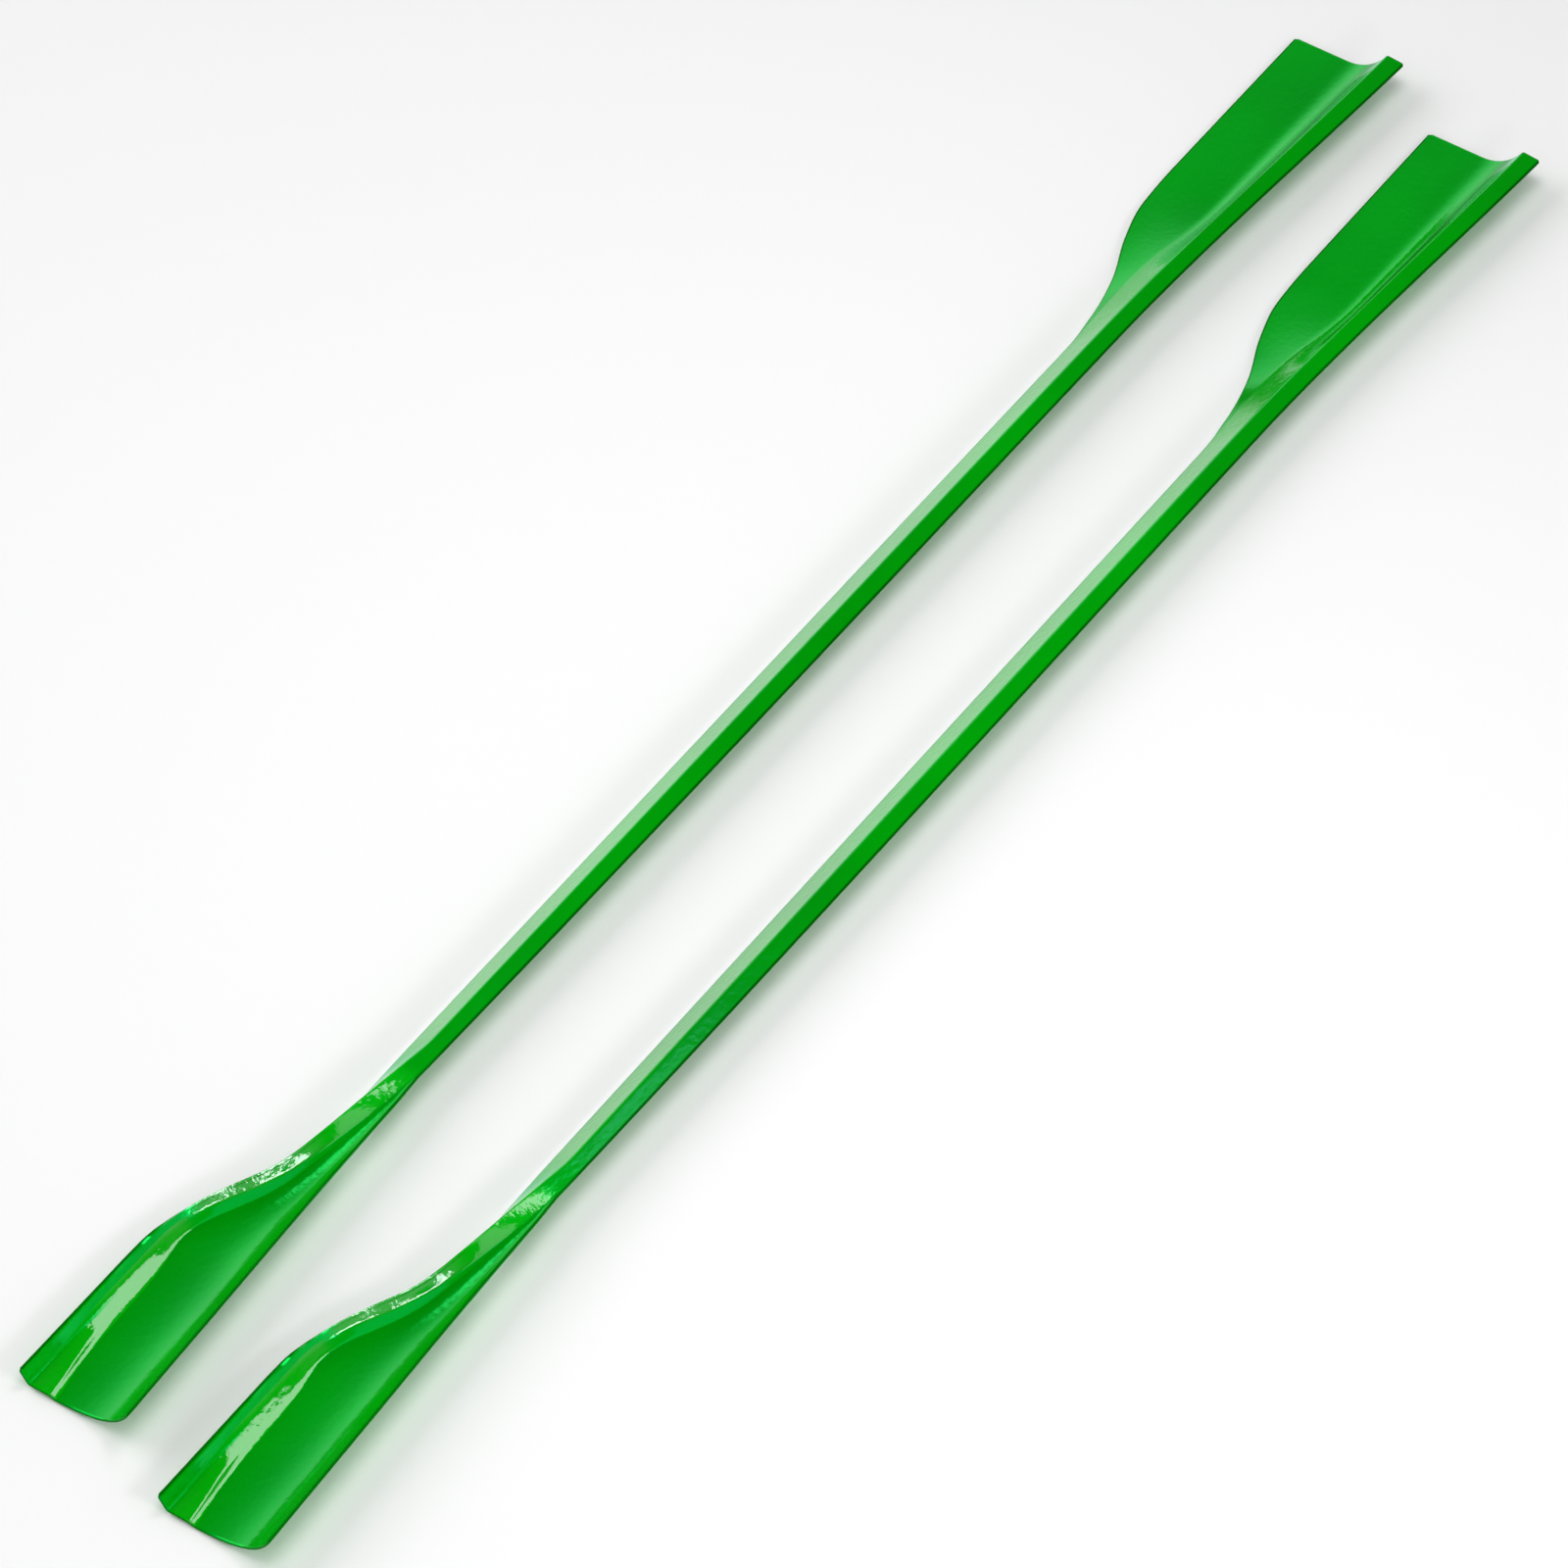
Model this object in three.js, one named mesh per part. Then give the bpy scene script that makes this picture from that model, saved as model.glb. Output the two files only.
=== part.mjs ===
// A pair of long one-piece sheet hands for picking up leaves. Millimetres, +Z up.
// Each hand is one folded sheet: a flat rib runs its whole length. At the far end a wide wing
// grows from the left of the rib, and at the near end a wide tray grows from the right of it.
import * as THREE from 'three';

// overall
const LENGTH = 900;
const SHEET = 1.2;
const CORNER_RADIUS = 2;
const PAIR_SHIFT = new THREE.Vector3(-19, -79, 0);
const GREEN = 0x0a9a14;

// bends and how finely each strip of the sheet is divided
const BEND_SETBACK = 1.5;
const BEND_SHARE = 0.45; // most of a neighbouring strip that a bend may use
const SHORTEST_STRIP = 0.6;
const WING_STEPS = 3;
const WALL_STEPS = 5;
const BEND_STEPS = 2;
const TRAY_STEPS = 8;

// Plan and height of the lines that run along the hand, as [distance from near end, value] stops.
// Y is to the left of the hand, so the tray and rib have negative Y.
const RIDGE_Y = [[0, 0.9], [80, 0.6], [105, -4.4], [118, -10.4], [130, -17], [140, -21], [153, -23.4],
  [200, -31.2], [218, -33.5], [450, -34], [680, -34.5], [LENGTH, -44.4]];
const RIDGE_Z = [[0, 5.2], [90, 5.4], [105, 6], [130, 7.9], [153, 10], [200, 13], [260, 13.3],
  [LENGTH, 13.3]];
const CREASE_Y = [[0, -2], [86, -2], [104, -6], [115, -11.6], [127, -18.4], [137, -22.9], [164, -31.4],
  [184, -36.4], [205, -38.8], [450, -40.7], [690, -41.2], [LENGTH, -51.8]];
const CREASE_Z = [[0, 0.35], [95, 0.35], [115, 1.2], [139, 4], [164, 8], [184, 10.8], [205, 12.4],
  [LENGTH, 12.6]];
const TRAY_EDGE_Y = [[0, -48.4], [72, -44.8], [143, -41.2], [195, -39.5]];
const TRAY_EDGE_Z = [[0, 15], [195, 12.8]];
const VALLEY_Y = [[250, -22.4], [690, -22.6], [790, -25], [LENGTH, -25]];
const VALLEY_Z = [[0, 2], [690, 2], [790, 0]];
const WING_EDGE_Y = [[690, -22], [708, -20], [729, -15.4], [753, -6.2], [776, -0.6], [800, 0.6],
  [LENGTH, 0.8]];

// where the near end of the left flange narrows to the bare rib edge
const FLANGE_FULL = 196;
const FLANGE_GONE = 140;
// where the tray narrows to the bare rib edge
const TRAY_NARROWS = 185;
const TRAY_GONE = 205;
// where the far wall turns from a straight face into a hollow curve
const HOLLOW_START = 690;
const HOLLOW_FULL = 800;

// cross-section shape factors, as shares of a strip's width
const EVEN = [1 / 3, 2 / 3];
const WALL_HOLLOW = [0.2, 0.53];
const WALL_DROP = [0.47, 1];
const TRAY_REACH = [0.48, 0.87];
const TRAY_SAG = [-0.03, 0.02];

// stations along the hand, as [from, to, number of steps]
const STATION_RUNS = [[0, 80, 4], [80, 210, 20], [210, 260, 4], [260, 680, 5], [680, 810, 17],
  [810, LENGTH, 4]];

function clamp01(v) {
  return Math.min(1, Math.max(0, v));
}

function ease(x, from, to) {
  const t = clamp01((x - from) / (to - from));
  return t * t * (3 - 2 * t);
}

function mix(a, b, t) {
  return a + (b - a) * t;
}

// Smooth curve through a few stops that never overshoots them.
function along(stops, x) {
  const last = stops.length - 1;
  if (x <= stops[0][0]) return stops[0][1];
  if (x >= stops[last][0]) return stops[last][1];
  const slopes = stops.slice(1).map((s, i) => (s[1] - stops[i][1]) / (s[0] - stops[i][0]));
  const tangent = (i) => {
    if (i === 0) return slopes[0];
    if (i === last) return slopes[last - 1];
    const before = slopes[i - 1];
    const after = slopes[i];
    return before * after <= 0 ? 0 : 2 * before * after / (before + after);
  };
  const i = stops.findIndex((s) => s[0] > x) - 1;
  const span = stops[i + 1][0] - stops[i][0];
  const t = (x - stops[i][0]) / span;
  const rise = t * t * (3 - 2 * t) * (stops[i + 1][1] - stops[i][1]);
  const lean = span * t * (1 - t) * ((1 - t) * tangent(i) - t * tangent(i + 1));
  return stops[i][1] + rise + lean;
}

function bezier(a, b, c, d, steps) {
  const flat = [a, b, c, d].map((p) => new THREE.Vector3(p.x, p.y, 0));
  return new THREE.CubicBezierCurve3(...flat).getPoints(steps).map((p) => new THREE.Vector2(p.x, p.y));
}

// One bend: a short quadratic curve in place of the corner between two strips.
function bend(before, corner, after) {
  const inSet = Math.min(BEND_SETBACK, BEND_SHARE * before.distanceTo(corner));
  const outSet = Math.min(BEND_SETBACK, BEND_SHARE * after.distanceTo(corner));
  const start = corner.clone().add(before.clone().sub(corner).setLength(inSet));
  const end = corner.clone().add(after.clone().sub(corner).setLength(outSet));
  return new THREE.QuadraticBezierCurve(start, corner, end).getPoints(BEND_STEPS);
}

// Upper face of the sheet at distance x, from the left free edge to the right one, as (Y, Z) points.
function section(x) {
  const ridge = new THREE.Vector2(along(RIDGE_Y, x), along(RIDGE_Z, x));
  const crease = new THREE.Vector2(along(CREASE_Y, x), along(CREASE_Z, x));
  const rib = crease.clone().sub(ridge).normalize();

  // left of the ridge: a wall down to the valley, then the wing
  let valley = new THREE.Vector2(along(VALLEY_Y, x), along(VALLEY_Z, x));
  const kept = ease(x, FLANGE_GONE, FLANGE_FULL);
  const fold = valley.clone().sub(ridge);
  const straight = rib.clone().negate().multiplyScalar(SHORTEST_STRIP);
  const lean = new THREE.Vector2().lerpVectors(straight, fold, kept);
  valley = ridge.clone().add(lean);
  const wall = valley.clone().sub(ridge);
  const hollow = ease(x, HOLLOW_START, HOLLOW_FULL);
  const wallPoint = (i) => new THREE.Vector2(
    ridge.x + wall.x * mix(EVEN[i], WALL_HOLLOW[i], hollow),
    ridge.y + wall.y * mix(EVEN[i], WALL_DROP[i], hollow),
  );
  const wingEdge = x < HOLLOW_START
    ? valley.clone().add(wall.clone().setLength(SHORTEST_STRIP))
    : new THREE.Vector2(along(WING_EDGE_Y, x), valley.y);
  const wing = [];
  for (let i = 0; i < WING_STEPS; i += 1) {
    wing.push(new THREE.Vector2().lerpVectors(wingEdge, valley, i / WING_STEPS));
  }
  const wallCurve = bezier(valley, wallPoint(1), wallPoint(0), ridge, WALL_STEPS);

  // right of the crease: the tray, hollow and curling up to its right edge
  const grown = 1 - ease(x, TRAY_NARROWS, TRAY_GONE);
  const bareEdge = crease.clone().add(rib.clone().multiplyScalar(SHORTEST_STRIP));
  const fullEdge = new THREE.Vector2(along(TRAY_EDGE_Y, x), along(TRAY_EDGE_Z, x));
  const edge = new THREE.Vector2().lerpVectors(bareEdge, fullEdge, grown);
  const width = crease.x - edge.x;
  const trayPoint = (i) => new THREE.Vector2(
    crease.x - width * mix(EVEN[i], TRAY_REACH[i], grown),
    mix(mix(crease.y, edge.y, EVEN[i]), crease.y + width * TRAY_SAG[i], grown),
  );
  const trayCurve = bezier(crease, trayPoint(0), trayPoint(1), edge, TRAY_STEPS);

  return [
    ...wing,
    ...wallCurve.slice(0, -1),
    ...bend(wallCurve[WALL_STEPS - 1], ridge, crease),
    ...bend(ridge, crease, trayCurve[1]),
    ...trayCurve.slice(1),
  ];
}

// Unit normals of a section, pointing away from its upper face.
function downNormals(points) {
  return points.map((_, i) => {
    const a = points[Math.max(0, i - 1)];
    const b = points[Math.min(points.length - 1, i + 1)];
    const run = b.clone().sub(a).normalize();
    return new THREE.Vector2(-run.y, run.x);
  });
}

function stations() {
  const list = [STATION_RUNS[0][0]];
  STATION_RUNS.forEach(([from, to, steps]) => {
    for (let i = 1; i <= steps; i += 1) list.push(mix(from, to, i / steps));
  });
  return list;
}

// How far an end is drawn back near a free edge, so that the sheet's corners are round.
function cornerPull(distance) {
  if (distance >= CORNER_RADIUS) return 0;
  const miss = CORNER_RADIUS - distance;
  return CORNER_RADIUS - Math.sqrt(CORNER_RADIUS ** 2 - miss ** 2);
}

function sheetGeometry() {
  const xs = stations();
  const upper = [];
  const lower = [];
  xs.forEach((x, row) => {
    const points = section(x);
    const normals = downNormals(points);
    const steps = points.map((p, i) => (i === 0 ? 0 : p.distanceTo(points[i - 1])));
    const total = steps.reduce((sum, s) => sum + s, 0);
    let run = 0;
    points.forEach((p, i) => {
      run += steps[i];
      const pull = cornerPull(Math.min(run, total - run));
      const atEnd = row === 0 ? pull : row === xs.length - 1 ? -pull : 0;
      upper.push([x + atEnd, p.x, p.y]);
      lower.push([x + atEnd, p.x + normals[i].x * SHEET, p.y + normals[i].y * SHEET]);
    });
  });
  const columns = upper.length / xs.length;
  const positions = [...upper, ...lower].flat();
  const under = upper.length;
  const faces = [];
  const quad = (a, b, c, d) => faces.push(a, b, c, a, c, d);
  for (let row = 0; row < xs.length - 1; row += 1) {
    for (let col = 0; col < columns - 1; col += 1) {
      const a = row * columns + col;
      const b = a + columns;
      quad(a, a + 1, b + 1, b);
      quad(under + a, under + b, under + b + 1, under + a + 1);
    }
    const left = row * columns;
    const right = left + columns - 1;
    quad(left, left + columns, under + left + columns, under + left);
    quad(right, under + right, under + right + columns, right + columns);
  }
  for (let col = 0; col < columns - 1; col += 1) {
    const far = (xs.length - 1) * columns + col;
    quad(col, under + col, under + col + 1, col + 1);
    quad(far, far + 1, under + far + 1, under + far);
  }
  const geometry = new THREE.BufferGeometry();
  geometry.setAttribute('position', new THREE.Float32BufferAttribute(positions, 3));
  geometry.setIndex(faces);
  return geometry;
}

function hand(name, shift) {
  const geometry = sheetGeometry();
  geometry.translate(shift.x, shift.y, shift.z);
  geometry.computeVertexNormals();
  const material = new THREE.MeshStandardMaterial({ color: GREEN, roughness: 0.18, metalness: 0.0 });
  const mesh = new THREE.Mesh(geometry, material);
  mesh.name = name;
  return mesh;
}

const part = new THREE.Group();
part.name = 'leaf_grabber_hands';
part.add(hand('left_hand', new THREE.Vector3()));
part.add(hand('right_hand', PAIR_SHIFT));

// put the middle of the pair's footprint at the origin, standing on Z = 0
const box = new THREE.Box3().setFromObject(part);
const middle = box.getCenter(new THREE.Vector3());
part.children.forEach((mesh) => mesh.geometry.translate(-middle.x, -middle.y, -box.min.z));

export default part;
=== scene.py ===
import math

import bpy
import numpy as np
from mathutils import Matrix, Vector


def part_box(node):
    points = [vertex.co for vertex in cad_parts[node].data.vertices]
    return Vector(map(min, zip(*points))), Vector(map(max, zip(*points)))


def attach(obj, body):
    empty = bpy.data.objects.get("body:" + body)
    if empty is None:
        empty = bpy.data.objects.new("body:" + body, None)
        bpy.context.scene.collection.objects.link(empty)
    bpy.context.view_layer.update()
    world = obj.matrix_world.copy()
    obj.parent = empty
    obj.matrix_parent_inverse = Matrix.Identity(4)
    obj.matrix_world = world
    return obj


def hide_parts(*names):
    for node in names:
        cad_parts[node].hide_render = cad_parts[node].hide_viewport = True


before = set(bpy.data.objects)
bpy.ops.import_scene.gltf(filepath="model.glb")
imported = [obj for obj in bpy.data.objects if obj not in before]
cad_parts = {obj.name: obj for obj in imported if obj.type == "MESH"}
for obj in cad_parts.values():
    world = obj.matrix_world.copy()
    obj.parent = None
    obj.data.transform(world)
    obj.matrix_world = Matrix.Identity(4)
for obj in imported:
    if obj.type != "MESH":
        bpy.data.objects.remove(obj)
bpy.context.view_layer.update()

MM = 0.001
NODES = ("left_hand", "right_hand")

# The folded sheet, in millimetres. Each line along it is a list of (distance from the near end, value)
# stops, with Y to the left of the hand and Z up.
LENGTH = 900.0
SHEET = 1.2
RIDGE_Y = [(0, 0.9), (80, 0.9), (92, -0.3), (105, -3.9), (118, -9.9), (130, -16.5), (140, -20.6),
           (153, -23.3), (200, -31.2), (218, -33.5), (450, -34), (680, -34.5), (LENGTH, -44.4)]
RIDGE_Z = [(0, 5.2), (90, 5.4), (105, 6), (130, 7.9), (153, 10), (200, 13), (260, 13.3),
           (LENGTH, 13.3)]
CREASE_Y = [(0, -2), (86, -2), (104, -6), (115, -11.6), (127, -18.4), (137, -22.9), (164, -31.4),
            (184, -36.4), (205, -38.8), (450, -40.7), (690, -41.2), (LENGTH, -51.8)]
CREASE_Z = [(0, 0.35), (95, 0.35), (115, 1.2), (139, 4), (164, 8), (184, 10.8), (205, 12.4),
            (LENGTH, 12.6)]
TRAY_EDGE_Y = [(0, -48.4), (72, -44.8), (143, -41.2), (195, -39.5)]
TRAY_EDGE_Z = [(0, 15), (195, 12.8)]
VALLEY_Y = [(250, -22.4), (690, -22.6), (790, -25), (LENGTH, -25)]
VALLEY_Z = [(0, 2), (690, 2), (790, 0)]
WING_EDGE_Y = [(690, -22), (708, -20), (729, -15.4), (753, -6.2), (776, -0.6), (800, 0.6),
               (LENGTH, 0.8)]
SMOOTHING = 7.0  # half width of the running average that eases each line, along the hand
SMOOTHING_STEPS = 25

# where the section changes, as (start, end) along the hand
EDGE_TURNS = (30.0, 138.0)  # the bare left edge turns from straight out to folded down
FLANGE_GROWS = (138.0, 200.0)
TRAY_CLOSES = (183.0, 205.0)
SLOPE_BEGINS = (300.0, 400.0)  # the left side becomes one straight slope
SLOPE_ENDS = (700.0, 790.0)  # and then the hollow wall and flat wing
WING_GROWS = (678.0, 702.0)
WALL_HOLLOWS = (690.0, 800.0)

# Cross-section shape factors, the first of each pair nearer the fold line that its strip starts from.
# They are shares of the strip's width, or of its height for WALL_DROP, and even ones keep it straight.
EVEN = (1 / 3, 2 / 3)
WALL_REACH = (0.20, 0.53)
WALL_DROP = (0.47, 1.00)
TRAY_REACH = (0.48, 0.87)
TRAY_SAG = (-0.03, 0.02)

# bends and the narrowest strips
SHORTEST_STRIP = 0.6
FOLD_DOWN = (0.45, -0.89)  # direction of the bare left edge where it is folded down
RIDGE_SETBACK = 0.9  # how far from the ridge its bend starts and ends
BEND_SHARE = 0.45  # most of a neighbouring strip that a bend may use

# The sloping facet pressed beside the near crease: its width, and how far it lifts the crease. Where it
# steepens, CREASE_SETBACK, FACET_FROM and FACET_TO go from their first value to their second.
FACET_REACH = [(0, 10.7), (26, 7.6), (70, 6.0), (96, 2.8), (112, 3.8), (130, 3.2), (150, 1.6),
               (170, 1.2)]
FACET_LIFT = [(-30, 0.4), (10, 0.6), (45, 2.3), (96, 2.3), (118, 1.8), (150, 0)]
FACET_STEEPENS = (8.0, 50.0)
CREASE_SETBACK = (0.4, 1.1)
FACET_FROM = (0.06, 0.22)  # shares of the way from the crease to the facet's foot
FACET_TO = (0.90, 0.72)
TRAY_SPEED = 1.35  # widths that the tray curve covers near the crease for a whole step of its parameter
FACET_LIMITS = (0.03, 0.30)  # least and most of the tray curve's parameter that the facet takes
FACET_RUNOUT = 1.3  # the bend at the foot ends this many times further out than the foot

# columns of the section, from the left free edge, and stations along the hand as (start, end, step)
WING_COLUMNS = 24
WALL_COLUMNS = 23
WALL_STOPS = 0.86  # share of the wall's curve that is used, before the join to the ridge
JOIN_COLUMNS = 3
BEND_COLUMNS = 11
HALF_BEND = 6
RIB_COLUMNS = 6
FACET_COLUMNS = 6
TRAY_COLUMNS = 39
SMOOTHING_ROUNDS = 2
WALL_COLUMN = WING_COLUMNS
FOLD_COLUMN = WALL_COLUMN + 15  # the fold line in the far wall, where a line of painted shade runs
FOLD_SPREAD = 2  # columns on either side of the fold line that the painted shade line takes
RIDGE_COLUMN = WALL_COLUMN + WALL_COLUMNS + JOIN_COLUMNS
CREASE_COLUMN = RIDGE_COLUMN + BEND_COLUMNS + RIB_COLUMNS
FOOT_COLUMNS = 8  # of the bend at the foot of the facet, those that share its gloss
FACET_END = CREASE_COLUMN + BEND_COLUMNS + FACET_COLUMNS + FOOT_COLUMNS
END_STATIONS = (0, 0.12, 0.35, 0.7, 1.2, 2, 3.2, 5, 8)
STATION_RUNS = [(12, 216, 1.5), (216, 672, 6), (672, 812, 1.5), (812, 892, 3)]

# rounding of the free edges, the two ends and the four corners
LIP_ANGLES = np.radians([25, 50, 75, 90, 105, 130, 155])
END_ROUND = 0.7
END_THINNEST = 0.02  # square of the share of the thickness that is left at the very end
CORNER_RADIUS = 0.8
CORNER_FADE = 12.0

# where the coat's look changes, as (start, end) along the hand, and by how much
CREASE_BURNISHED = (34, 60)
FACET_DULLS = (92, 100)
BAND_BURNISHED, BAND_DULLS = (96, 108), (190, 205)
FLANGE_BURNISHED, FLANGE_DULLS = (196, 230), (705, 770)
FLANGE_GLOSS = 0.7
# RIB_DARKENS sets where painted shade darkens the base colour of the rib
RIB_DARKENS = (196, 222)
# FOLD_DARKENS, FOLD_PALES, FOLD_PALING and FOLD_SHADE set a line of painted shade along the fold
FOLD_DARKENS, FOLD_PALES = (735, 775), (840, 895)
FOLD_PALING = 0.5
FOLD_SHADE = 2.4
FOLD_SHEEN_LOSS = 0.95
FACET_SHEEN_RETURNS = (145, 170)
FACET_SHEEN_LOSS = 0.8
RIM_WIDTH = 4.0


def along(stops, x):
    """Smooth curve through the stops that never overshoots them, at every distance in x."""
    px, py = (np.array(v, float) for v in zip(*stops))
    slope = np.diff(py) / np.diff(px)
    before, after = slope[:-1], slope[1:]
    same = before * after > 0
    inner = np.where(same, 2 * before * after / np.where(same, before + after, 1), 0)
    tangent = np.concatenate([slope[:1], inner, slope[-1:]])
    x = np.clip(x, px[0], px[-1])
    i = np.clip(np.searchsorted(px, x, side="right") - 1, 0, len(px) - 2)
    span = px[i + 1] - px[i]
    t = (x - px[i]) / span
    rise = t * t * (3 - 2 * t) * (py[i + 1] - py[i])
    return py[i] + rise + span * t * (1 - t) * ((1 - t) * tangent[i] - t * tangent[i + 1])


def eased(stops, x):
    """The same curve with its joins softened, so that reflections run over them without a break."""
    spread = np.linspace(-1, 1, SMOOTHING_STEPS)
    weight = (1 - spread ** 2) ** 2
    total = sum(w * along(stops, x + s * SMOOTHING) for s, w in zip(spread, weight))
    return total / weight.sum()


def path(y_stops, z_stops, x):
    return np.stack([eased(y_stops, x), eased(z_stops, x)], -1)


def ease(x, start, end):
    t = np.clip((x - start) / (end - start), 0, 1)
    return t ** 3 * (t * (6 * t - 15) + 10)


def between(x, rise, fall):
    return ease(x, *rise) * (1 - ease(x, *fall))


def mix(a, b, t):
    return a + (b - a) * t


def lerp(a, b, t):
    """Mix of two sets of points, with a share for each station."""
    return mix(a, b, np.asarray(t)[..., None])


def columns_between(a, b, shares):
    return mix(a, b, shares[:, None, None])


def inner_shares(count):
    return np.linspace(0, 1, count + 2)[1:-1]


def bezier(points, t):
    """Quadratic or cubic curve: points are (Y, Z) for each station, and t has a row for each column."""
    n = len(points) - 1
    return sum(math.comb(n, k) * (t ** k * (1 - t) ** (n - k))[..., None] * p
               for k, p in enumerate(points))


def bend(start, corner, end):
    return bezier([start, corner, end], np.linspace(0, 1, BEND_COLUMNS)[:, None])


def bend_end(corner, neighbour, setback):
    """Where a bend round the corner meets the strip that leads to the neighbour."""
    most = BEND_SHARE * np.linalg.norm(neighbour - corner, axis=-1)
    return corner + unit(neighbour - corner) * np.minimum(setback, most)[:, None]


def unit(v):
    return v / np.maximum(np.linalg.norm(v, axis=-1, keepdims=True), 1e-9)


def left_side(x, ridge, rib):
    """The wing, then the wall, from the left free edge most of the way up to the ridge."""
    bare_fold = unit(lerp(-rib, np.array(FOLD_DOWN), ease(x, *EDGE_TURNS))) * SHORTEST_STRIP
    wall = lerp(bare_fold, path(VALLEY_Y, VALLEY_Z, x) - ridge, ease(x, *FLANGE_GROWS))
    valley = ridge + wall
    hollow = ease(x, *WALL_HOLLOWS)
    wall_in, wall_out = (
        ridge + wall * np.stack([mix(even, reach, hollow), mix(even, drop, hollow)], -1)
        for even, reach, drop in zip(EVEN, WALL_REACH, WALL_DROP)
    )
    bare_edge = valley + unit(wall) * SHORTEST_STRIP
    wing_edge = np.stack([eased(WING_EDGE_Y, x), valley[:, 1]], -1)
    edge = lerp(bare_edge, wing_edge, ease(x, *WING_GROWS))
    wing = columns_between(edge, valley, np.linspace(0, 1, WING_COLUMNS, endpoint=False))
    wall_shares = np.linspace(0, WALL_STOPS, WALL_COLUMNS)[:, None]
    left = np.concatenate([wing, bezier([valley, wall_out, wall_in, ridge], wall_shares)])
    # on the handle and at the far neck this side is one straight slope
    share = (left[..., 0] - ridge[:, 0]) / (edge - ridge)[:, 0]
    slope = np.stack([left[..., 0], ridge[:, 1] + (edge - ridge)[:, 1] * share], -1)
    return lerp(left, slope, between(x, SLOPE_BEGINS, SLOPE_ENDS))


def tray_curve(x, crease, rib):
    """The tray's curve, as four control points for each station, from the crease to the right edge."""
    grown = 1 - ease(x, *TRAY_CLOSES)
    edge = lerp(crease + rib * SHORTEST_STRIP, path(TRAY_EDGE_Y, TRAY_EDGE_Z, x), grown)
    width = crease[:, 0] - edge[:, 0]
    shape = []
    for even, reach, sag in zip(EVEN, TRAY_REACH, TRAY_SAG):
        bowed = crease + width[:, None] * np.array((-reach, sag))
        shape.append(lerp(mix(crease, edge, even), bowed, grown))
    return [crease, *shape, edge]


def right_side(x, ridge, crease, tray):
    """The bend at the crease, the facet and the tray, and where that bend starts on the rib."""
    steep = ease(x, *FACET_STEEPENS)
    width = tray[0][:, 0] - tray[-1][:, 0]
    facet_share = np.clip(eased(FACET_REACH, x) / (TRAY_SPEED * np.maximum(width, 1)), *FACET_LIMITS)
    foot = bezier(tray, facet_share[None])[0]
    rib_end = bend_end(crease, ridge, mix(*CREASE_SETBACK, steep))
    facet_start = lerp(crease, foot, mix(*FACET_FROM, steep))
    facet_end = lerp(crease, foot, mix(*FACET_TO, steep))
    # until the facet steepens, its end is level with the crease
    facet_end[:, 1] += mix(*FACET_TO, steep) * (crease - foot)[:, 1] * (1 - steep)
    tray_share = facet_share * FACET_RUNOUT
    tray_shares = mix(tray_share, 1, np.linspace(0, 1, TRAY_COLUMNS + 1)[1:, None])
    columns = [
        bend(rib_end, crease, facet_start),
        columns_between(facet_start, facet_end, inner_shares(FACET_COLUMNS)),
        bend(facet_end, foot, bezier(tray, tray_share[None])[0]),
        bezier(tray, tray_shares),
    ]
    return np.concatenate(columns), rib_end


def upper_face(x):
    """Upper face of the sheet, from the left free edge to the right one: (column, station, Y and Z)."""
    ridge = path(RIDGE_Y, RIDGE_Z, x)
    crease = path(CREASE_Y, CREASE_Z, x)
    rib = unit(crease - ridge)
    raised_crease = crease + np.stack([np.zeros(len(x)), eased(FACET_LIFT, x)], -1)
    left = left_side(x, ridge, rib)
    right, rib_end = right_side(x, ridge, raised_crease, tray_curve(x, crease, rib))
    ridge_start = bend_end(ridge, left[-1], RIDGE_SETBACK)
    ridge_end = bend_end(ridge, rib_end, RIDGE_SETBACK)
    return np.concatenate([
        left,
        columns_between(left[-1], ridge_start, inner_shares(JOIN_COLUMNS)),
        bend(ridge_start, ridge, ridge_end),
        columns_between(ridge_end, rib_end, inner_shares(RIB_COLUMNS)),
        right,
    ])


def smooth_columns(rows, rounds):
    """Light smoothing across the sheet that keeps the two free edges where they are."""
    for _ in range(rounds):
        rows = rows.copy()
        rows[1:-1] = 0.25 * rows[:-2] + 0.5 * rows[1:-1] + 0.25 * rows[2:]
    return rows


def stations():
    """Distances from the near end, closest together at the two ends and where the section changes."""
    ends = np.array(END_STATIONS)
    return np.unique(np.concatenate([ends, *(np.arange(*run) for run in STATION_RUNS), LENGTH - ends]))


def around(upper, right, lower, left):
    """Values for the whole ring from its four parts, with one value a station for each lip."""
    lips = len(LIP_ANGLES)
    return np.concatenate([upper, np.tile(right, (lips, 1)), lower[::-1], np.tile(left, (lips, 1))])


def ring_faces(rows, columns):
    """Faces that join each station's ring to the next."""
    row, column = np.meshgrid(np.arange(rows - 1), np.arange(columns), indexing="ij")
    here = row * columns + column
    beside = row * columns + (column + 1) % columns
    return np.stack([here + columns, beside + columns, beside, here], -1).reshape(-1, 4).tolist()


def end_faces(base, top, columns):
    """Faces that close one end of the sheet: between its upper and lower face, then the two lips."""
    lips = len(LIP_ANGLES)
    facing = base + top + lips + top - 1
    strips = [(base + k, base + k + 1, facing - k - 1, facing - k) for k in range(top - 1)]
    right = tuple(base + top - 1 + k for k in range(lips + 2))
    left = tuple(base + (top + lips + top - 1 + k) % columns for k in range(lips + 2))
    return strips + [right, left]


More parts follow.
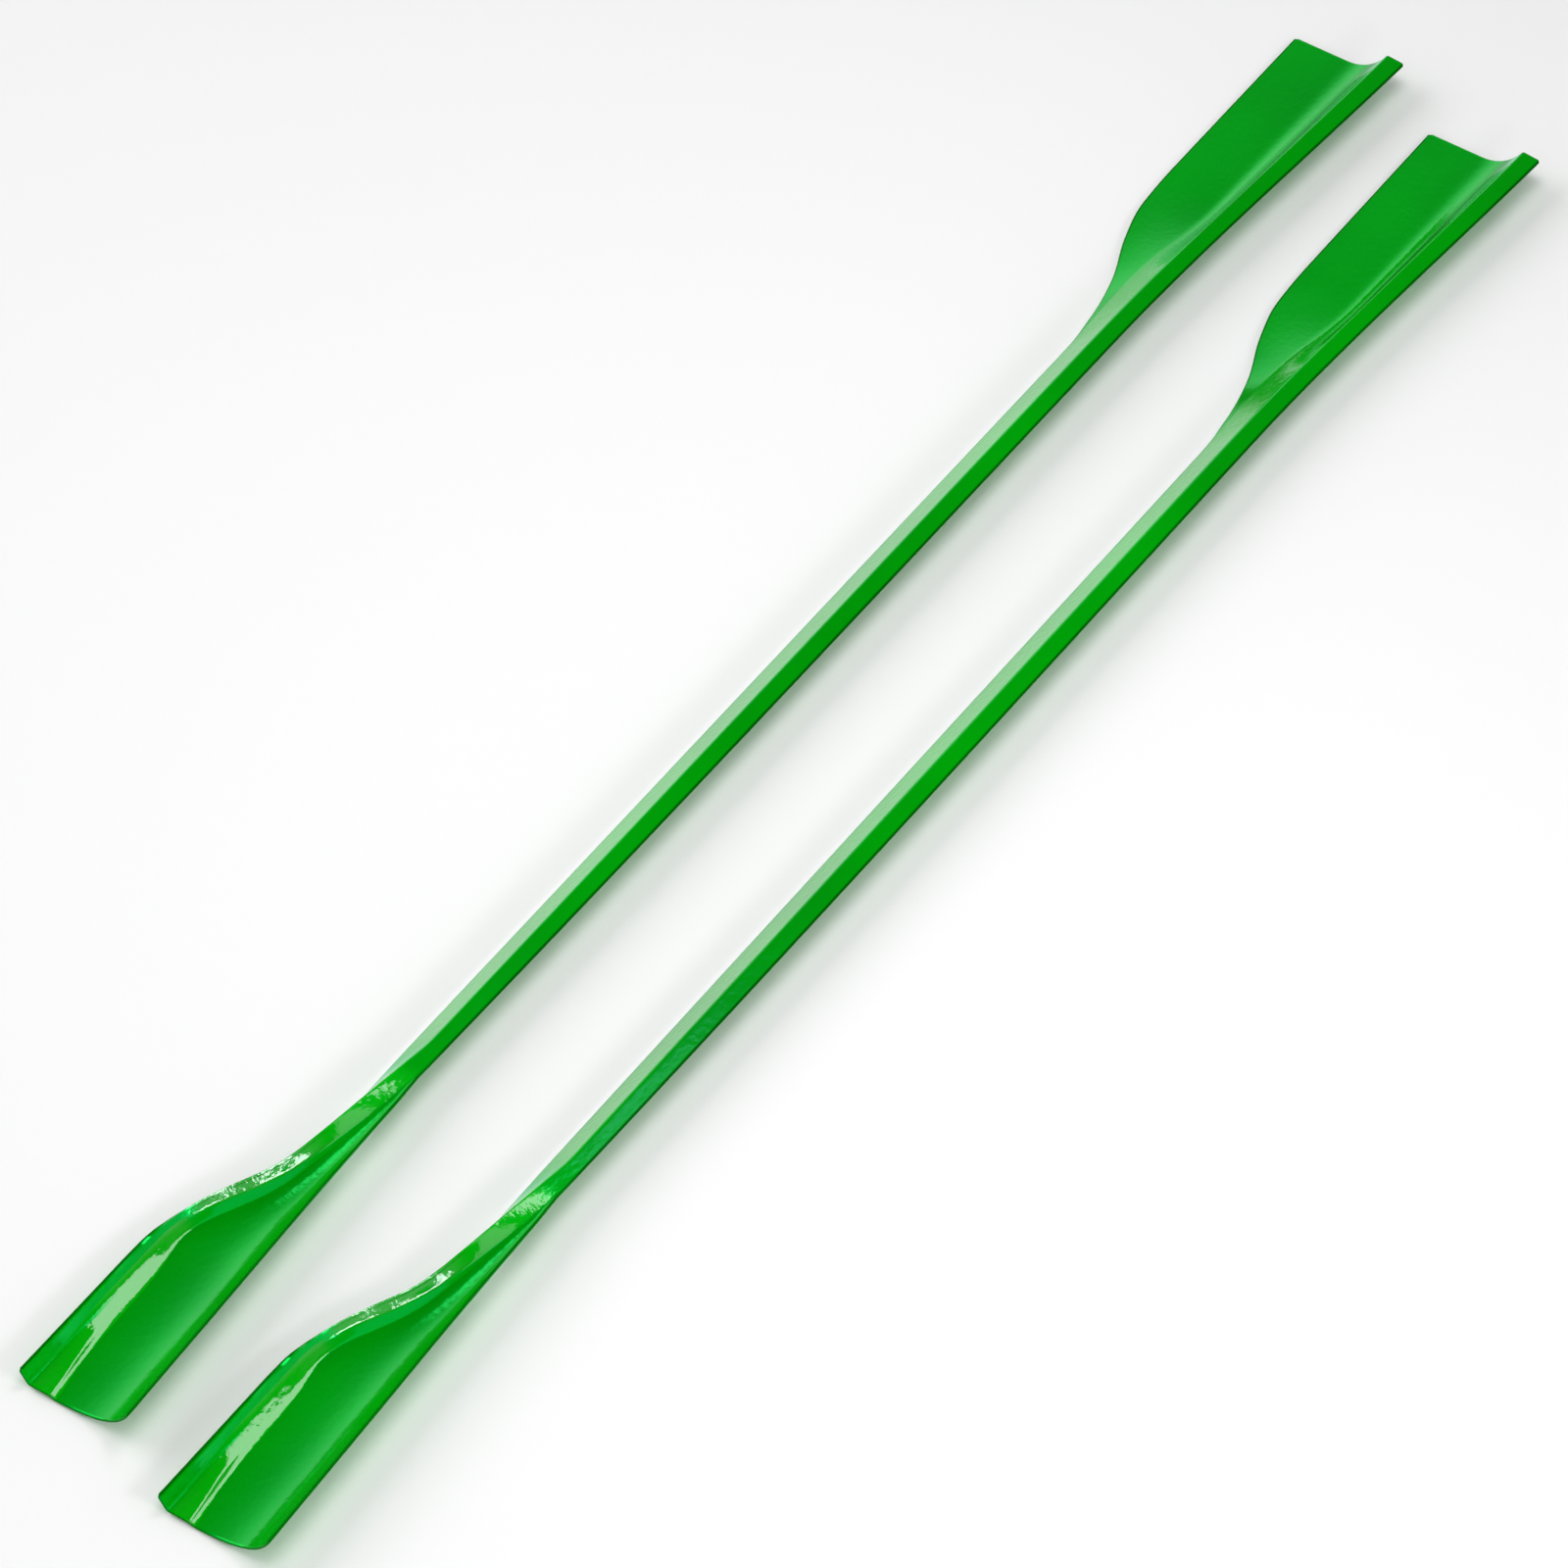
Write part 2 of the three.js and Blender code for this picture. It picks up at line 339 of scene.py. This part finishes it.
def coat_values(x, to_edge):
    """How the coat's look changes over the sheet, as named values for the coat material."""
    none = np.zeros(len(x))
    to_end = np.minimum(x, LENGTH - x)
    rim = np.minimum(around(to_edge, none, to_edge, none), to_end)

    # the strips that the press has burnished: the near facet, the band through the neck, the flange
    burnished = np.zeros(to_edge.shape)
    burnished[CREASE_COLUMN:FACET_END] = 1 - ease(x, *FACET_DULLS)
    band = burnished[RIDGE_COLUMN:CREASE_COLUMN + HALF_BEND]
    band[:] = np.maximum(band, between(x, BAND_BURNISHED, BAND_DULLS))
    burnished[CREASE_COLUMN:CREASE_COLUMN + BEND_COLUMNS] *= ease(x, *CREASE_BURNISHED)
    burnished[WALL_COLUMN:RIDGE_COLUMN] = FLANGE_GLOSS * between(x, FLANGE_BURNISHED, FLANGE_DULLS)

    # painted shade: the base colour is darker along the rib of the handle and in a line along the fold
    # of the far wall
    rib_shade = np.zeros(to_edge.shape)
    rib_shade[RIDGE_COLUMN + HALF_BEND:] = ease(x, *RIB_DARKENS)
    fold_line_shade = np.zeros(to_edge.shape)
    # painted shade along the fold line, paler towards the far end
    fold_line_shade_depth = ease(x, *FOLD_DARKENS) * (1 - FOLD_PALING * ease(x, *FOLD_PALES))
    fold_line_shade[FOLD_COLUMN - FOLD_SPREAD:FOLD_COLUMN + FOLD_SPREAD] = fold_line_shade_depth
    shaded = np.maximum(rib_shade, FOLD_SHADE * fold_line_shade)

    # the sheen of the coat is weaker there and on the near facet
    sheen = (1 - rib_shade) * (1 - FOLD_SHEEN_LOSS * fold_line_shade)
    sheen[CREASE_COLUMN:FACET_END] *= 1 - FACET_SHEEN_LOSS * (1 - ease(x, *FACET_SHEEN_RETURNS))
    return {
        "rim": np.clip(rim / RIM_WIDTH, 0, 1),
        "burnished": around(burnished, none, 0 * burnished, none),
        "sheen": around(sheen, none, sheen, none),
        # painted shade of the rib and of the fold line, which darkens the base colour
        "shaded": around(shaded, rib_shade[-1], rib_shade, none),
    }


def sheet_mesh(name):
    """The sheet as a ring of upper face, right lip, lower face and left lip at every station."""
    x = stations()
    upper = smooth_columns(upper_face(x), SMOOTHING_ROUNDS)
    run = np.gradient(upper, axis=0)
    out = unit(run)
    down = unit(np.stack([-run[..., 1], run[..., 0]], -1))
    lengths = np.linalg.norm(np.diff(upper, axis=0), axis=-1)
    across = np.concatenate([np.zeros((1, len(x))), np.cumsum(lengths, 0)])
    to_edge = np.minimum(across, across[-1] - across)

    half = SHEET / 2
    middle = upper + down * half
    to_end = np.minimum(x, LENGTH - x)
    near_end = np.clip(to_end / END_ROUND, 0, 1)
    thick = half * np.sqrt(np.clip(1 - (1 - near_end) ** 2, END_THINNEST, 1))[:, None]

    def lip(column, side):
        turns = [out[column] * math.sin(a) - down[column] * math.cos(a) for a in LIP_ANGLES]
        return middle[column] + side * thick * np.array(turns)

    above = middle - down * thick
    below = middle + down * thick
    ring = np.concatenate([above, lip(-1, 1), below[::-1], lip(0, -1)])

    # the corners of the sheet are drawn back in plan
    miss = np.clip(CORNER_RADIUS - to_edge, 0, None)
    pull = CORNER_RADIUS - np.sqrt(CORNER_RADIUS ** 2 - miss ** 2)
    fade = np.clip(1 - to_end / CORNER_FADE, 0, 1) ** 2
    inward = np.where(x < LENGTH / 2, 1, -1)
    xs = x + around(pull, pull[-1], pull, pull[0]) * fade * inward

    verts = np.concatenate([xs[..., None], ring], -1).transpose(1, 0, 2).reshape(-1, 3)
    rows, columns, top = len(x), len(ring), len(upper)
    near_cap = end_faces(0, top, columns)
    far_cap = [face[::-1] for face in end_faces((rows - 1) * columns, top, columns)]
    mesh = bpy.data.meshes.new(name)
    mesh.from_pydata(verts.tolist(), [], ring_faces(rows, columns) + near_cap + far_cap)
    mesh.update()
    for title, values in coat_values(x, to_edge).items():
        data = mesh.attributes.new(title, "FLOAT", "POINT").data
        data.foreach_set("value", values.T.reshape(-1).astype(np.float32))
    return mesh


# the colour sockets of a Mix node
MIX_A, MIX_B, MIX_RESULT = 6, 7, 2


def node(tree, kind, **values):
    made = tree.nodes.new(kind)
    for key, value in values.items():
        setattr(made, key, value)
    return made


def coat_material(name):
    """High-gloss green coat: orange peel, fine speckle, slight colour drift, and painted shade on the
    rim, along the rib and in a line at the fold.
    """
    mat = bpy.data.materials.new(name)
    mat.use_nodes = True
    tree = mat.node_tree
    link = tree.links.new
    bsdf = tree.nodes["Principled BSDF"]
    place = node(tree, "ShaderNodeTexCoord").outputs["Object"]

    def attribute(title):
        return node(tree, "ShaderNodeAttribute", attribute_name=title).outputs["Fac"]

    def noise(scale, detail):
        made = node(tree, "ShaderNodeTexNoise")
        made.inputs["Scale"].default_value = scale
        made.inputs["Detail"].default_value = detail
        link(place, made.inputs["Vector"])
        return made.outputs["Fac"]

    def ramp(value, *stops):
        made = node(tree, "ShaderNodeValToRGB")
        for i, (position, color) in enumerate(stops):
            made.color_ramp.elements[i].position = position
            made.color_ramp.elements[i].color = color
        link(value, made.inputs["Fac"])
        return made.outputs["Color"]

    def ranged(value, low, high, bottom=0.0, top=1.0, clamp=True):
        made = node(tree, "ShaderNodeMapRange", clamp=clamp)
        made.inputs["From Min"].default_value = bottom
        made.inputs["From Max"].default_value = top
        made.inputs["To Min"].default_value = low
        made.inputs["To Max"].default_value = high
        link(value, made.inputs["Value"])
        return made.outputs["Result"]

    def times(a, b):
        made = node(tree, "ShaderNodeMath", operation="MULTIPLY")
        link(a, made.inputs[0])
        link(b, made.inputs[1])
        return made.outputs["Value"]

    def tinted(color, tint):
        made = node(tree, "ShaderNodeMix", data_type="RGBA", blend_type="MULTIPLY")
        made.inputs["Factor"].default_value = 1.0
        link(color, made.inputs[MIX_A])
        link(tint, made.inputs[MIX_B])
        return made.outputs[MIX_RESULT]

    def bump(height, distance, strength=1.0, base=None):
        made = node(tree, "ShaderNodeBump")
        made.inputs["Strength"].default_value = strength
        made.inputs["Distance"].default_value = distance
        link(height, made.inputs["Height"])
        if base is not None:
            link(base.outputs["Normal"], made.inputs["Normal"])
        return made

    rim = attribute("rim")
    burnished = attribute("burnished")
    sheen = attribute("sheen")
    rim_band = 0.25  # the gloss builds up over this much of the rim value

    drift = noise(scale=9.0, detail=3.0)
    green = ramp(drift, (0.35, (0.000, 0.365, 0.0016, 1)), (0.70, (0.000, 0.470, 0.0022, 1)))
    # painted shade: darker base colour on the lips and within about half a millimetre of the free edges
    # and ends
    rim_shade_tint = ramp(rim, (0.02, (0.36, 0.36, 0.36, 1)), (0.13, (1, 1, 1, 1)))
    # shade_tint darkens the base colour with the painted shade of the rib and the fold line
    shade_tint = ranged(attribute("shaded"), 1.0, 0.70, clamp=False)
    link(tinted(tinted(green, rim_shade_tint), shade_tint), bsdf.inputs["Base Color"])

    coat_weight = times(ranged(rim, 0.0, 1.0, top=rim_band), ranged(burnished, 0.02, 1.0))
    link(coat_weight, bsdf.inputs["Coat Weight"])
    link(times(ranged(burnished, 0.3, 0.0), sheen), bsdf.inputs["Metallic"])
    shine = times(ranged(burnished, 0.95, 0.12), ranged(sheen, 0.3, 1.0))
    link(times(ranged(rim, 0.08, 1.0, top=rim_band), shine), bsdf.inputs["Specular IOR Level"])
    coat_rough = ranged(noise(scale=60.0, detail=5.0), 0.03, 0.07, bottom=0.3, top=0.7)
    link(coat_rough, bsdf.inputs["Coat Roughness"])

    peel = bump(noise(scale=380.0, detail=2.0), distance=0.0004, strength=0.20)
    wave = bump(noise(scale=60.0, detail=2.0), distance=0.001, strength=0.035, base=peel)
    speckle = bump(noise(scale=520.0, detail=3.0), distance=0.00012, base=wave)
    link(ranged(burnished, 0.0, 0.32), speckle.inputs["Strength"])
    link(wave.outputs["Normal"], bsdf.inputs["Normal"])
    link(speckle.outputs["Normal"], bsdf.inputs["Coat Normal"])

    bsdf.inputs["Roughness"].default_value = 0.14
    bsdf.inputs["Specular Tint"].default_value = (0.0, 0.9, 0.72, 1)
    bsdf.inputs["IOR"].default_value = 1.45
    bsdf.inputs["Coat IOR"].default_value = 1.55
    return mat


coat = coat_material("green_gloss_coat")
for cad_node in NODES:
    low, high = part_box(cad_node)
    mesh = sheet_mesh(cad_node + "_sheet")
    points = np.array([v.co for v in mesh.vertices])
    mesh_low, mesh_high = points.min(0), points.max(0)
    # centred on the CAD node in plan, and standing on its lowest point
    shift = (np.array(low) + np.array(high)) / 2 - (mesh_low + mesh_high) / 2 * MM
    shift[2] = low[2] - mesh_low[2] * MM
    mesh.transform(Matrix.Translation(shift) @ Matrix.Diagonal((MM, MM, MM, 1)))
    hand = bpy.data.objects.new(cad_node + "_sheet", mesh)
    bpy.context.collection.objects.link(hand)
    mesh.materials.append(coat)
    mesh.polygons.foreach_set("use_smooth", [True] * len(mesh.polygons))
    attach(hand, cad_node)
    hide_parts(cad_node)

# studio: a pale floor and soft light
FLOOR = 14.0
FLOOR_DROP = 0.0004
floor_corners = [(-FLOOR, -FLOOR, 0), (FLOOR, -FLOOR, 0), (FLOOR, FLOOR, 0), (-FLOOR, FLOOR, 0)]
floor_mesh = bpy.data.meshes.new("studio_floor")
floor_mesh.from_pydata(floor_corners, [], [(0, 1, 2, 3)])
floor = bpy.data.objects.new("studio_floor", floor_mesh)
floor.location.z = -FLOOR_DROP
bpy.context.collection.objects.link(floor)
floor_mat = bpy.data.materials.new("studio_floor")
floor_mat.use_nodes = True
floor_bsdf = floor_mat.node_tree.nodes["Principled BSDF"]
floor_bsdf.inputs["Base Color"].default_value = (0.9, 0.9, 0.9, 1)
floor_bsdf.inputs["Roughness"].default_value = 0.9
floor_bsdf.inputs["Specular IOR Level"].default_value = 0.1
floor_mesh.materials.append(floor_mat)

# bright walls that fade to a dark ceiling, as (height, level) stops from straight down to straight up
SKY = [(0.0, 0.95), (0.62, 1.0), (0.70, 0.80), (0.80, 0.30), (0.866, 0.10), (0.90, 0.02), (1.0, 0.02)]
SKY_STRENGTH = 1.2
scene = bpy.context.scene
world = bpy.data.worlds.new("studio")
world.use_nodes = True
sky = world.node_tree
sky_ramp = node(sky, "ShaderNodeValToRGB")
sky_height = node(sky, "ShaderNodeSeparateXYZ")
sky_share = node(sky, "ShaderNodeMapRange")
sky_share.inputs["From Min"].default_value = -1.0
sky.links.new(node(sky, "ShaderNodeTexCoord").outputs["Generated"], sky_height.inputs["Vector"])
sky.links.new(sky_height.outputs["Z"], sky_share.inputs["Value"])
sky.links.new(sky_share.outputs["Result"], sky_ramp.inputs["Fac"])
sky.links.new(sky_ramp.outputs["Color"], sky.nodes["Background"].inputs["Color"])
for i, (height, level) in enumerate(SKY):
    stop = sky_ramp.color_ramp.elements[i] if i < 2 else sky_ramp.color_ramp.elements.new(height)
    stop.position = height
    stop.color = (level, level, level, 1)
sky.nodes["Background"].inputs["Strength"].default_value = SKY_STRENGTH
scene.world = world


def softbox(name, place, aim, size_x, size_y, power):
    data = bpy.data.lights.new(name, "AREA")
    data.shape = "RECTANGLE"
    data.size, data.size_y = size_x, size_y
    data.energy = power
    lamp = bpy.data.objects.new(name, data)
    lamp.location = place
    lamp.rotation_euler = (Vector(aim) - Vector(place)).to_track_quat("-Z", "Y").to_euler()
    bpy.context.collection.objects.link(lamp)


softbox("key_light", (-0.3, 2.6, 2.0), (0, 0, 0), 2.6, 2.0, 40)
softbox("top_light", (-0.9, -0.6, 3.0), (0, 0, 0), 2.8, 2.8, 34)
softbox("streak_light", (0.20, -0.08, 0.92), (-0.40, 0.02, 0), 0.42, 0.34, 2.4)
softbox("side_light", (-0.44, -0.97, 0.52), (-0.33, 0.02, 0), 0.34, 0.16, 2.6)

# camera: far back with a long lens, looking along and down on the pair
AZIMUTH, ELEVATION = math.radians(-55.8), math.radians(47.1)
DISTANCE = 3.65
TARGET = Vector((-0.0269, 0.0014, 0.0012))
SENSOR_WIDTH = 36
LENS = 210.8
FARTHEST = 60
camera_data = bpy.data.cameras.new("camera")
camera_data.sensor_width = SENSOR_WIDTH
camera_data.lens = LENS
camera_data.clip_end = FARTHEST
camera = bpy.data.objects.new("camera", camera_data)
level = math.cos(ELEVATION)
back = Vector((math.sin(AZIMUTH) * level, -math.cos(AZIMUTH) * level, math.sin(ELEVATION)))
camera.location = TARGET + back * DISTANCE
camera.rotation_euler = (-back).to_track_quat("-Z", "Y").to_euler()
bpy.context.collection.objects.link(camera)
scene.camera = camera
scene.view_settings.view_transform = "Standard"
